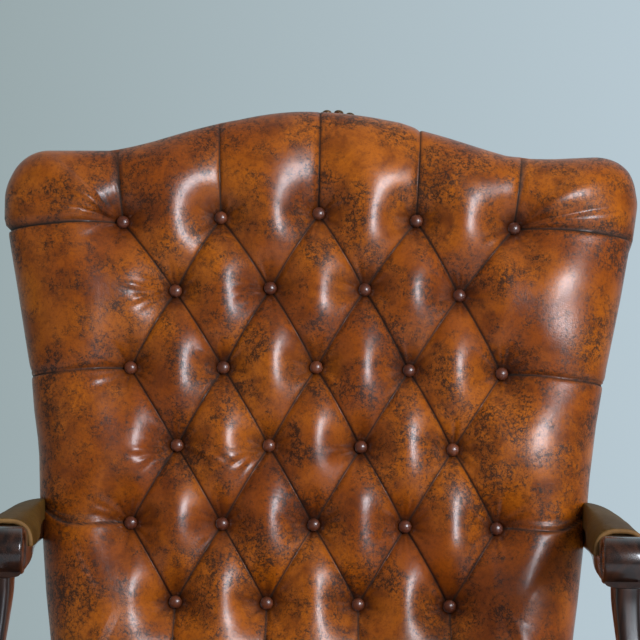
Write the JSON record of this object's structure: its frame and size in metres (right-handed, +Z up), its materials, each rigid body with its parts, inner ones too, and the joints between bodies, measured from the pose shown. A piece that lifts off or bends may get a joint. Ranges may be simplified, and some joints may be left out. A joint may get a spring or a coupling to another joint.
{
  "type": "upholstered library armchair",
  "caption": "Open-arm library armchair with a deep diamond-buttoned camel-shaped back, padded arms on wood rails and a loose leather seat cushion.",
  "frame": {"origin": "on the floor under the middle of the chair's width and length", "axes": "+Z up, +X to the right of someone facing the chair's front, -Y the way the seat faces; the back leans towards +Y"},
  "size_m": [0.691, 0.7033, 1.0767],
  "materials": {
    "leather": "glossy antiqued, mottled",
    "arm_leather": "satin, plain",
    "welt_leather": "satin",
    "polished_wood": "dark stain, polished",
    "frame_wood": "sawn and planed, unfinished",
    "canvas": "woven",
    "lining": "woven, matt",
    "spring_steel": "plain wire"
  },
  "bodies": {
    "chair": {"arm_pad_left": "arm_leather", "arm_pad_right": "arm_leather", "arm_rail_left": "polished_wood", "arm_rail_right": "polished_wood", "arm_support_left": "polished_wood", "arm_support_right": "polished_wood", "arm_welt_left": "welt_leather", "arm_welt_right": "welt_leather", "back_base_rail": "frame_wood", "back_button_1_1": "leather", "back_button_1_2": "leather", "back_button_1_3": "leather", "back_button_1_4": "leather", "back_button_1_5": "leather", "back_button_2_1": "leather", "back_button_2_2": "leather", "back_button_2_3": "leather", "back_button_2_4": "leather", "back_button_3_1": "leather", "back_button_3_2": "leather", "back_button_3_3": "leather", "back_button_3_4": "leather", "back_button_3_5": "leather", "back_button_4_1": "leather", "back_button_4_2": "leather", "back_button_4_3": "leather", "back_button_4_4": "leather", "back_button_5_1": "leather", "back_button_5_2": "leather", "back_button_5_3": "leather", "back_button_5_4": "leather", "back_button_5_5": "leather", "back_button_6_1": "leather", "back_button_6_2": "leather", "back_button_6_3": "leather", "back_button_6_4": "leather", "back_pad": "leather", "back_post_left": "polished_wood", "back_post_right": "polished_wood", "back_webbing": "canvas", "corner_block_left": "frame_wood", "corner_block_right": "frame_wood", "crest_rail": "frame_wood", "dust_cover": "lining", "front_leg_left": "polished_wood", "front_leg_right": "polished_wood", "outside_back": "leather", "seat_border": "leather", "seat_deck": "arm_leather", "seat_rail_front": "frame_wood", "seat_rail_left": "frame_wood", "seat_rail_rear": "frame_wood", "seat_rail_right": "frame_wood", "seat_spring_1": "spring_steel", "seat_spring_2": "spring_steel", "seat_spring_3": "spring_steel", "seat_spring_4": "spring_steel"},
    "cushion": {"seat_cushion": "leather"}
  },
  "joints": [
    {"name": "cushion_slide", "type": "slide", "parent": "chair", "child": "cushion", "axis": [0, -1, 0], "range_m": [0, 0.2]}
  ]
}
